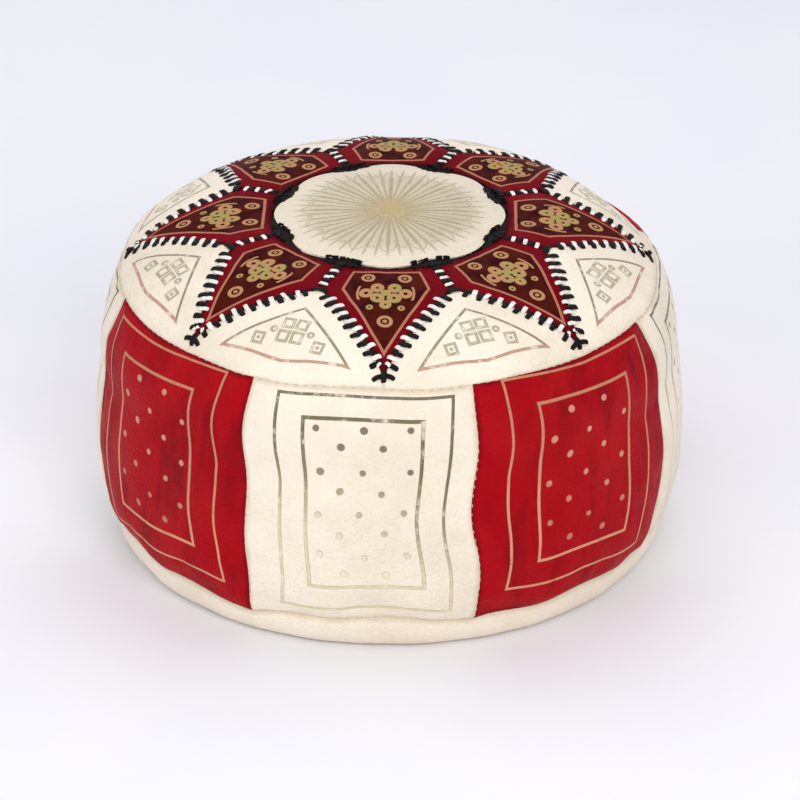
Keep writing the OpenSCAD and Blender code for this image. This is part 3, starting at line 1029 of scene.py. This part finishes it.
class Shader:
    """A material, with short ways to add nodes to it."""

    def __init__(self, name):
        self.material = bpy.data.materials.new(name)
        self.material.use_nodes = True
        self.nodes = self.material.node_tree.nodes
        self.links = self.material.node_tree.links
        self.bsdf = self.nodes["Principled BSDF"]
        uv = self.nodes.new("ShaderNodeUVMap")
        uv.uv_map = "flat"
        self.uv = Field(self, uv.outputs["UV"])
        self.place = Field(self, self.nodes.new("ShaderNodeTexCoord").outputs["Object"])
        edge = self.nodes.new("ShaderNodeAttribute")
        edge.attribute_name = "edge"
        self.edge = Field(self, edge.outputs["Fac"])
        split = self.nodes.new("ShaderNodeSeparateXYZ")
        self.links.new(self.uv.socket, split.inputs[0])
        self.x, self.y = Field(self, split.outputs["X"]), Field(self, split.outputs["Y"])

    def put(self, socket, value):
        if isinstance(value, Field):
            self.links.new(value.socket, socket)
        else:
            socket.default_value = value

    def add(self, kind, vector=None, **values):
        """A new node, with its vector linked and its other inputs put."""
        node = self.nodes.new("ShaderNode" + kind)
        if vector is not None:
            self.links.new(vector.socket, node.inputs["Vector"])
        for name, value in values.items():
            self.put(node.inputs[name], value)
        return node

    def math(self, operation, *values):
        node = self.nodes.new("ShaderNodeMath")
        node.operation = operation
        for socket, value in zip(node.inputs, values):
            self.put(socket, value)
        return Field(self, node.outputs[0])

    def abs(self, a):
        return self.math("ABSOLUTE", a)

    def max(self, *values):
        found = values[0]
        for value in values[1:]:
            found = self.math("MAXIMUM", found, value)
        return found

    def ramp(self, a, low, high, start=0.0, end=1.0):
        """start where a is low, end where it is high, and smooth between them."""
        node = self.nodes.new("ShaderNodeMapRange")
        node.interpolation_type = "SMOOTHSTEP"
        names = ("Value", "From Min", "From Max", "To Min", "To Max")
        for name, value in zip(names, (a, low, high, start, end)):
            self.put(node.inputs[name], value)
        return Field(self, node.outputs["Result"])

    def line(self, distance, width, blur=0.0003):
        """1 within half a width of where a distance is zero."""
        return self.ramp(self.abs(distance), width / 2 - blur, width / 2 + blur, 1.0, 0.0)

    def inside(self, distance, blur=0.0003):
        return self.ramp(distance, -blur, blur, 1.0, 0.0)

    def length(self, x, y):
        return self.math("SQRT", x * x + y * y)

    def stretched(self, vector, scale):
        return Field(self, self.add("Mapping", vector, Scale=scale).outputs["Vector"])

    def noise(self, vector, scale, detail=2.0, roughness=0.5, distortion=0.0):
        node = self.add("TexNoise", vector, Scale=scale, Detail=detail, Roughness=roughness,
                        Distortion=distortion)
        return Field(self, node.outputs["Fac"])

    def cells(self, vector, scale, feature="F1"):
        node = self.add("TexVoronoi", vector, Scale=scale)
        node.feature = feature
        return Field(self, node.outputs["Distance"])

    def waves(self, vector, scale, direction):
        node = self.add("TexWave", vector, Scale=scale)
        node.bands_direction = direction
        return Field(self, node.outputs["Fac"])

    def mix(self, factor, a, b):
        """The colour a where the factor is 0 and b where it is 1."""
        node = self.nodes.new("ShaderNodeMix")
        node.data_type = "RGBA"
        self.put(node.inputs["Factor"], factor)
        for socket, value in zip([s for s in node.inputs if s.type == "RGBA"], (a, b)):
            self.put(socket, value if isinstance(value, Field) else (*value, 1.0))
        return Field(self, next(s for s in node.outputs if s.type == "RGBA"))

    def bump(self, height, distance):
        node = self.add("Bump", Distance=distance, Strength=1.0, Height=height)
        return Field(self, node.outputs["Normal"])

    def finish(self, colour, roughness, height=None, distance=0.0004, **constants):
        self.put(self.bsdf.inputs["Base Color"], colour)
        self.put(self.bsdf.inputs["Roughness"], roughness)
        for name, value in constants.items():
            self.bsdf.inputs[name.replace("_", " ")].default_value = value
        if height is not None:
            self.put(self.bsdf.inputs["Normal"], self.bump(height, distance))
        return self.material


# colours, as linear values
CREAM = (0.93, 0.83, 0.68)
CREAM_WORN = (0.80, 0.70, 0.54)
CREAM_DEEP = (0.66, 0.53, 0.37)
RED = (0.38, 0.0008, 0.005)
# RED_DEEP is also the painted shade in the red leather's creases
RED_DEEP = (0.16, 0.001, 0.006)
RED_WORN = (0.42, 0.006, 0.010)
MAROON = (0.155, 0.0012, 0.005)
MAROON_DEEP = (0.022, 0.0012, 0.004)
BROWN = (0.070, 0.008, 0.0025)
OLIVE = (0.17, 0.145, 0.065)
PALE_GOLD = (0.74, 0.64, 0.38)
PINK_GOLD = (0.58, 0.22, 0.13)
RICH_GOLD = (0.50, 0.34, 0.10)
GREEN_GOLD = (0.38, 0.33, 0.10)
RAY_GOLD = (0.40, 0.33, 0.16)
UMBER_GOLD = (0.19, 0.13, 0.085)
BRIGHT_PINK_GOLD = (0.70, 0.31, 0.18)
DOT_PINK = (0.70, 0.28, 0.20)
MAROON_WORN = (0.21, 0.004, 0.010)
SAND = (0.64, 0.56, 0.40)
SAND_WORN = (0.52, 0.45, 0.31)
BLACK = (0.006, 0.005, 0.005)
BLACK_WORN = (0.016, 0.012, 0.012)
BLACK_DEEP = (0.003, 0.003, 0.003)
ROSE = (0.52, 0.20, 0.14)


def leather_grain(s, vector):
    """Height of goat leather's fine pebbles and its slower creases, and a blotchy variation."""
    pebbles = s.cells(vector, 620.0)
    veins = s.cells(vector, 150.0, "DISTANCE_TO_EDGE")
    slow = s.noise(vector, 26.0, 4.0, 0.6)
    fine = s.noise(vector, 900.0, 2.0)
    height = pebbles * 0.42 + s.ramp(veins, 0.0, 0.14) * 0.30 + slow * 0.9 + fine * 0.12
    return height, slow


def leather(name, colour, worn, deep, pattern=None, edge_width=0.006, gloss=0.42, fold_shade=0.0):
    """Leather with grain, blotches, colour darkened towards its seams, painted shade in any creases, and
    a pattern stamped into it.

    pattern(s) returns the leather's stamped colour, given its plain one, and the stamp's depth.
    """
    s = Shader(name)
    height, slow = leather_grain(s, s.place)
    blotch = s.noise(s.place, 9.0, 5.0, 0.65)
    tone = s.mix(s.ramp(blotch, 0.35, 0.75), colour, worn)
    # the colour is darkened towards the seams, in a band whose inner border is ragged
    seam_wobble = s.noise(s.place, 60.0, 4.0, 0.7)
    seam_darkening = s.ramp(s.edge + (seam_wobble - 0.5) * 0.006, 0.0, edge_width, 0.75, 0.0)
    tone = s.mix(seam_darkening, tone, deep)
    tone = s.mix(s.ramp(slow, 0.62, 0.80, 0.0, 0.25), tone, deep)
    if fold_shade:
        fold = s.noise(s.stretched(s.place, (1.0, 1.0, 0.28)), 30.0, 3.0, 0.6, 0.4)
        # painted shade: the leather is darkened in the creases that the same noise presses in just below
        tone = s.mix(s.ramp(fold, 0.44, 0.76, 0.0, fold_shade), tone, deep)
        height = height - fold * 1.4
    roughness = s.ramp(slow, 0.3, 0.7, 0.43, 0.58)
    if pattern:
        tone, stamp = pattern(s, tone)
        height = height - stamp * 1.1
        roughness = roughness - stamp * 0.12
    return s.finish(tone, roughness, height, 0.0008, Specular_IOR_Level=gloss)


def gilding(s, scale, bare):
    """How much of the gold is left on the stamped lines: broken patches are rubbed off."""
    rubbed = s.noise(s.uv, scale, 4.0, 0.75)
    specks = s.noise(s.uv, 700.0, 2.0, 0.8)
    return s.ramp(rubbed + specks * 0.22, bare, bare + 0.16)


def box_distance(s, x, y, half_width, bottom, top):
    return s.max(s.abs(x) - half_width, y - top, bottom - y)


DOT_GAP = (0.0190, 0.0188)      # across and up, from a dot to the next in the staggered rows
DOT_MARGIN = 0.0062             # from the inner frame
DOT_JITTER = 0.0045


def panel_pattern(outer, inner, dark, pale, dots_dark, bare, faintest):
    """Two frames and a field of dots, whose gold is darker towards the top."""

    def pattern(s, tone):
        wobble = (s.noise(s.uv, 16.0, 2.0) - 0.5) * 0.0026
        x, y = s.x + wobble, s.y + wobble
        frames = s.max(s.line(box_distance(s, x, y, *outer), 0.0025),
                       s.line(box_distance(s, x, y, *inner), 0.0029))
        px, py = x / DOT_GAP[0], y / DOT_GAP[1]
        u, v = (px + py) * 0.5, (px - py) * 0.5
        u0, v0 = s.math("ROUND", u), s.math("ROUND", v)
        jitter = s.nodes.new("ShaderNodeTexWhiteNoise")
        jitter.noise_dimensions = "2D"
        cell = s.nodes.new("ShaderNodeCombineXYZ")
        s.put(cell.inputs[0], u0)
        s.put(cell.inputs[1], v0)
        s.links.new(cell.outputs[0], jitter.inputs["Vector"])
        shift = s.nodes.new("ShaderNodeSeparateColor")
        s.links.new(jitter.outputs["Color"], shift.inputs[0])
        jx, jy, size = [(Field(s, o) - 0.5) * DOT_JITTER for o in shift.outputs[:3]]
        du, dv = u - u0, v - v0
        distance = s.length((du + dv) * DOT_GAP[0] + jx, (du - dv) * DOT_GAP[1] + jy)
        spots = s.ramp(distance + size * 0.16, 0.0024, 0.0034, 1.0, 0.0)
        centre_x, centre_y = (u0 + v0) * DOT_GAP[0], (u0 - v0) * DOT_GAP[1]
        spots = spots * s.inside(box_distance(s, centre_x, centre_y, *inner) + DOT_MARGIN)
        fade = s.ramp(y + x * 0.35 + (s.noise(s.uv, 14.0, 3.0) - 0.5) * 0.09, -0.055, 0.055)
        gold = s.mix(fade, pale, dark)
        spot_colour = s.mix(fade, pale, dots_dark)
        left = gilding(s, 45.0, bare)
        tone = s.mix(frames * (left * 0.80 + 0.20), tone, gold)
        tone = s.mix(spots * s.ramp(fade, 0.0, 0.7, faintest, 0.95), tone, spot_colour)
        return tone, s.max(frames, spots)

    return pattern


def ring(s, x, y, cx, cy, radius, width):
    return s.line(s.length(x - cx, y - cy) - radius, width)


def ring_set(s, x, y, rows, up=0.0):
    """Rings, each from its centre, radius and line width, moved up together."""
    return s.max(*[ring(s, x, y, cx, up + cy, radius, width) for cx, cy, radius, width in rows])


def corner_distance(s, x, y, points):
    """Distance outside a convex outline, mirrored in x, whose corners go up one side."""
    found = []
    for (x0, y0), (x1, y1) in zip(points[:-1], points[1:]):
        length = math.hypot(x1 - x0, y1 - y0)
        nx, ny = (y1 - y0) / length, -(x1 - x0) / length
        found.append((x - x0) * nx + (y - y0) * ny)
    return s.max(*found)


STAR_FRAME = [(0.0, 0.114), (0.0285, 0.1135), (0.0360, 0.1375), (0.0, 0.2115)]
STAR_LINE = (0.47, 0.17, 0.105)
ROSETTE_Y = 0.1440
ROSETTE = [(0.0072, -0.0064, 0.0036, 0.0048), (0.0070, 0.0066, 0.0038, 0.0048),
           (0.0, 0.0, 0.0016, 0.0050), (0.0, 0.0150, 0.0032, 0.0042)]
FLOWERS = [(0.0158, 0.1235, 0.0046, 0.0030), (0.0158, 0.1235, 0.0, 0.0034),
           (0.0, 0.1785, 0.0050, 0.0032), (0.0, 0.1785, 0.0, 0.0038)]


def star_pattern(s, tone):
    """A gilt frame round a dark field, with a rosette and three small flowers."""
    wobble = (s.noise(s.uv, 30.0, 2.0) - 0.5) * 0.002
    x, y = s.abs(s.x) + wobble, s.y + wobble
    frame_distance = corner_distance(s, x, y, STAR_FRAME)
    field = s.inside(frame_distance)
    line = s.line(frame_distance, 0.0026)
    petals = ring_set(s, x, y, ROSETTE, ROSETTE_Y)
    brackets = ring(s, x, y, 0.0, ROSETTE_Y, 0.0236, 0.0022) * s.inside(s.abs(y - ROSETTE_Y) - 0.0085)
    arcs = s.max(ring(s, x, y, 0.0165, ROSETTE_Y + 0.0005, 0.0038, 0.0042), brackets)
    flowers = ring_set(s, x, y, FLOWERS)
    small = ring(s, x, y, 0.0132, 0.1625, 0.0020, 0.0020)
    field_tone = s.mix(s.ramp(s.noise(s.uv, 60.0, 3.0), 0.35, 0.7), BROWN, MAROON_DEEP)
    tone = s.mix(field * 0.92, tone, field_tone)
    left = gilding(s, 70.0, 0.36)
    hue = s.mix(s.ramp(s.noise(s.uv, 85.0, 2.0), 0.40, 0.60), s.mix(0.5, ROSE, RICH_GOLD), GREEN_GOLD)
    tone = s.mix(s.max(petals, small) * left * 0.95, tone, hue)
    tone = s.mix(s.max(arcs, flowers) * left * 0.95, tone, s.mix(0.45, ROSE, RICH_GOLD))
    tone = s.mix(line * (left * 0.6 + 0.4), tone, STAR_LINE)
    return tone, s.max(line, petals, arcs, flowers)


def square_ring(s, x, y, cx, cy, half, width):
    return s.line(s.max(s.abs(x - cx), s.abs(y - cy)) - half, width)


WEDGE_FRAME = [(0.0, 0.1730), (0.0570, 0.2160), (0.0, 0.2225)]
WEDGE_SQUARES = [(0.0062, 0.1910, 0.0042, 0.0022), (0.0062, 0.2035, 0.0042, 0.0022),
                 (0.0265, 0.2080, 0.0042, 0.0020)]
WEDGE_DOTS = [(0.0265, 0.2080, 0.0, 0.0028), (0.0165, 0.1985, 0.0022, 0.0018)]


def wedge_pattern(s, tone):
    """A faint three-cornered frame with a cluster of small squares."""
    wobble = (s.noise(s.uv, 24.0, 2.0) - 0.5) * 0.003
    x, y = s.abs(s.x) + wobble, s.y + wobble
    line = s.line(corner_distance(s, x, y, WEDGE_FRAME), 0.0020)
    squares = [square_ring(s, x, y, *row) for row in WEDGE_SQUARES]
    squares = s.max(*squares, ring_set(s, x, y, WEDGE_DOTS))
    left = gilding(s, 60.0, 0.46)
    base_line = s.ramp(y, 0.2135, 0.2165)
    gold = s.mix(base_line, OLIVE, ROSE)
    tone = s.mix(line * (left * 0.7 + 0.15), tone, gold)
    tone = s.mix(squares * (left * 0.55 + 0.12), tone, s.mix(0.4, OLIVE, GREEN_GOLD))
    return tone, s.max(line, squares)


RAYS = 48
PETALS = 16


def from_spokes(s, r, angle, count):
    """Distance from the nearest of a number of lines out of the middle."""
    turn = s.math("PINGPONG", angle * (count / (2 * math.pi)) + 64.0, 0.5)
    return turn * r * (2 * math.pi / count)


def medallion_pattern(s, tone):
    """A sunburst of fine gilt rays with a row of petals at their ends."""
    r = s.length(s.x, s.y)
    angle = s.math("ARCTAN2", s.x, s.y)
    across = from_spokes(s, r, angle, RAYS)
    long_rays = s.line(across, 0.0015, 0.0006) * s.ramp(r, 0.080, 0.092, 1.0, 0.0)
    long_rays = long_rays * s.ramp(r, 0.008, 0.014)
    across = from_spokes(s, r, angle, PETALS)
    main_rays = s.line(across, 0.0026, 0.0009) * s.ramp(r, 0.066, 0.076, 1.0, 0.0)
    leaf = s.line(s.length(across, (r - 0.066) * 0.55) - 0.0072, 0.0012, 0.0004)
    leaf = leaf * s.ramp(r, 0.054, 0.058)
    tips = s.line(s.length(across - r * (math.pi / PETALS), r - 0.0715) - 0.0022, 0.0012, 0.0004)
    hub = s.max(s.line(r - 0.0075, 0.0012), s.ramp(r, 0.002, 0.005, 1.0, 0.0))
    left = gilding(s, 38.0, 0.40)
    tone = s.mix(s.ramp(r, 0.060, 0.090, 0.0, 0.55), tone, CREAM)
    lines = s.max(long_rays * 0.8, main_rays, leaf * 0.5, tips * 0.5, hub)
    gold = s.mix(s.ramp(r, 0.0, 0.050), RICH_GOLD, RAY_GOLD)
    return s.mix(lines * (left * 0.60 + 0.20), tone, gold), lines


CREAM_OUTER = (0.0725, -0.0930, 0.1005)
CREAM_INNER = (0.0490, -0.0680, 0.0820)
RED_OUTER = (0.0730, -0.0925, 0.0920)
RED_INNER = (0.0470, -0.0690, 0.0690)


def lace_material(name, colour, worn):
    s = Shader(name)
    fibre = s.noise(s.place, 420.0, 4.0, 0.7)
    blotch = s.noise(s.place, 90.0, 3.0)
    tone = s.mix(s.ramp(fibre * 0.6 + blotch * 0.4, 0.42, 0.66), colour, worn)
    edge = s.ramp(s.abs(s.x), 0.0012, 0.0023)
    tone = s.mix(edge * 0.35, tone, worn)
    return s.finish(tone, s.ramp(blotch, 0.3, 0.7, 0.5, 0.68), fibre + edge * 0.6, 0.0003,
                    Specular_IOR_Level=0.12)


def thread_material():
    s = Shader("seam_thread")
    diagonal = s.x * 900.0 + s.y * 1500.0
    twist = s.math("SINE", diagonal * 3.0)
    fuzz = s.noise(s.place, 1500.0, 2.0)
    # painted shade: the thread is darker where its twist and fuzz lie low in the bump, in the grooves
    # between its plies
    tone = s.mix(s.ramp(twist + fuzz, -0.4, 1.6), (0.42, 0.33, 0.20), (0.74, 0.64, 0.46))
    roughness = s.ramp(fuzz, 0.3, 0.7, 0.7, 0.85)
    return s.finish(tone, roughness, twist * 0.5 + fuzz, 0.0002, Sheen_Weight=0.25)


def woven(name, colour, dark, threads):
    """Plain-woven cloth, whose threads go over and under each other."""
    s = Shader(name)
    warp = s.waves(s.place, threads, "X")
    weft = s.waves(s.place, threads, "Y")
    weave = s.max(warp * (1.0 - weft * 0.6), weft * (1.0 - warp * 0.6))
    slub = s.noise(s.place, 80.0, 3.0, 0.7)
    # painted shade between the threads: the cloth is darker where the weave lies low; the slubs add some
    # of the yarn's own tone
    tone = s.mix(s.ramp(weave + slub * 0.4, 0.25, 1.15), dark, colour)
    roughness = s.ramp(slub, 0.3, 0.7, 0.78, 0.92)
    return s.finish(tone, roughness, weave + slub * 0.3, 0.0003, Sheen_Weight=0.15)


def brass_material():
    s = Shader("zip_brass")
    worn = s.noise(s.place, 160.0, 4.0, 0.65)
    scratches = s.noise(s.place, 900.0, 3.0, 0.8, 0.6)
    tone = s.mix(s.ramp(worn, 0.38, 0.68), (0.78, 0.57, 0.25), (0.42, 0.28, 0.11))
    roughness = s.ramp(worn + scratches * 0.3, 0.4, 0.95, 0.24, 0.52)
    return s.finish(tone, roughness, scratches + worn, 0.0001, Metallic=1.0)


def filling_material():
    s = Shader("filling")
    fibres = s.noise(s.place, 240.0, 6.0, 0.8, 1.5)
    clumps = s.noise(s.place, 40.0, 4.0)
    # painted shade: the filling is darker in the hollows between its fibres and clumps, the low places
    # of its bump
    mixed = s.ramp(fibres * 0.6 + clumps * 0.4, 0.35, 0.65)
    tone = s.mix(mixed, (0.62, 0.57, 0.48), (0.85, 0.82, 0.74))
    roughness = s.ramp(clumps, 0.3, 0.7, 0.85, 0.95)
    return s.finish(tone, roughness, fibres + clumps * 2, 0.0015, Sheen_Weight=0.4)


def make_materials():
    cream = (CREAM, CREAM_WORN, CREAM_DEEP)
    cream_stamp = panel_pattern(CREAM_OUTER, CREAM_INNER, OLIVE, PALE_GOLD, UMBER_GOLD, 0.45, 0.1)
    red_stamp = panel_pattern(RED_OUTER, RED_INNER, PINK_GOLD, BRIGHT_PINK_GOLD, DOT_PINK, 0.38, 0.6)
    return {
        "cream_leather": leather("cream_leather", *cream),
        "cream_panel": leather("cream_panel", *cream, cream_stamp),
        # the red panels get painted shade in their creases
        "red_leather": leather("red_panel", RED, RED_WORN, RED_DEEP, red_stamp, gloss=0.05, fold_shade=0.75),
        "oxblood_leather": leather("oxblood_leather", MAROON, MAROON_WORN, MAROON_DEEP, star_pattern,
                                   edge_width=0.0085, gloss=0.02),
        "cream_wedge": leather("cream_wedge", *cream, wedge_pattern, edge_width=0.003),
        "medallion": leather("medallion", SAND, SAND_WORN, CREAM_DEEP, medallion_pattern,
                             edge_width=0.003),
        "black_leather": leather("black_leather", BLACK, BLACK_WORN, BLACK_DEEP, gloss=0.15),
        "black_lace": lace_material("black_lace", (0.003, 0.0026, 0.003), (0.014, 0.010, 0.010)),
        "white_lace": lace_material("white_lace", (0.88, 0.87, 0.83), (0.66, 0.60, 0.52)),
        "seam_thread": thread_material(),
        "zip_tape": woven("zip_tape", (0.66, 0.58, 0.42), (0.30, 0.24, 0.15), 520.0),
        "zip_brass": brass_material(),
        "lining_cotton": woven("lining_cotton", (0.80, 0.76, 0.66), (0.52, 0.47, 0.38), 330.0),
        "filling": filling_material(),
    }


def dress_zip():
    """Gives the zip's own solids their finish."""
    for name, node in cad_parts.items():
        if name.startswith("zip_"):
            slot = "zip_tape" if name.startswith("zip_tape") else "zip_brass"
            for place in node.material_slots:
                place.material = MATERIALS[slot]


# ------------------------------------------------------------------ studio

FLOOR_HALF = 4.6        # half the floor's width, and the backdrop's distance
FLOOR_FRONT = -6.44
BACKDROP_HEIGHT = 3.0
BACKDROP_BEND = 0.9     # radius of the curve between the floor and the backdrop
FLOOR_GAP = 0.0004


def make_floor():
    """The floor, which curves up into a backdrop beyond every camera."""
    mesh = bpy.data.meshes.new("floor")
    start = FLOOR_HALF - BACKDROP_BEND
    profile = [(FLOOR_FRONT, 0.0), (start, 0.0)]
    profile += [(start + BACKDROP_BEND * math.sin(a), BACKDROP_BEND - BACKDROP_BEND * math.cos(a))
                for a in np.linspace(0.1, math.pi / 2, 14)]
    profile += [(FLOOR_HALF, BACKDROP_HEIGHT)]
    points = [(x, y, z - FLOOR_GAP) for x in (-FLOOR_HALF, FLOOR_HALF) for y, z in profile]
    count = len(profile)
    mesh.from_pydata(points, [], [(i, i + count, i + count + 1, i + 1) for i in range(count - 1)])
    mesh.polygons.foreach_set("use_smooth", [True] * len(mesh.polygons))
    floor = bpy.data.objects.new("floor", mesh)
    bpy.context.scene.collection.objects.link(floor)
    s = Shader("floor")
    paper = s.noise(s.place, 3.0, 2.0)
    grain = s.noise(s.place, 300.0, 2.0)
    tone = s.mix(s.ramp(paper, 0.35, 0.65), (0.86, 0.865, 0.91), (0.89, 0.89, 0.925))
    floor.data.materials.append(s.finish(tone, 0.85, grain, 0.0001))


def add_light(name, place, target, size, energy, colour):
    data = bpy.data.lights.new(name, "AREA")
    data.shape = "DISK"
    data.size = size
    data.energy = energy
    data.color = colour
    light = bpy.data.objects.new(name, data)
    bpy.context.scene.collection.objects.link(light)
    light.location = place
    light.rotation_euler = (Vector(target) - Vector(place)).to_track_quat("-Z", "Y").to_euler()


def make_lights():
    add_light("key", (0.9, -2.2, 1.7), (0, 0, 0.15), 1.4, 25, (1.0, 0.985, 0.96))
    add_light("top", (-0.1, 0.8, 2.6), (0, 0.3, 0.1), 2.4, 20, (0.97, 0.98, 1.0))
    add_light("fill", (-1.9, -1.8, 1.2), (0, 0, 0.15), 1.6, 12, (0.96, 0.98, 1.0))
    world = bpy.data.worlds.new("studio")
    world.use_nodes = True
    sky = world.node_tree.nodes["Background"]
    sky.inputs["Color"].default_value = (0.955, 0.955, 1.0, 1.0)
    sky.inputs["Strength"].default_value = 0.67
    bpy.context.scene.world = world
    bpy.context.scene.view_settings.view_transform = "Standard"


AZIMUTH = math.radians(5.8)
ELEVATION = math.radians(26.8)
DISTANCE = 3.5
TARGET = Vector((0.0, 0.0, 0.150))
LENS = 179.5
SHIFT = (0.0128, -0.0465)


def make_camera():
    data = bpy.data.cameras.new("camera")
    data.lens = LENS
    data.sensor_width = 36.0
    data.shift_x, data.shift_y = SHIFT
    camera = bpy.data.objects.new("camera", data)
    bpy.context.scene.collection.objects.link(camera)
    level = math.cos(ELEVATION)
    back = Vector((math.sin(AZIMUTH) * level, -math.cos(AZIMUTH) * level, math.sin(ELEVATION)))
    camera.location = TARGET + back * DISTANCE
    camera.rotation_euler = back.to_track_quat("Z", "Y").to_euler()
    bpy.context.scene.camera = camera


# ------------------------------------------------------------------ the scene

MATERIALS = make_materials()
make_floor()
make_lights()
make_camera()
cover = make_cover(stuff())
make_notch_ring()
make_laces(cover)
make_threads(cover)
make_band()
make_halves()
make_lining()
make_core()
dress_zip()
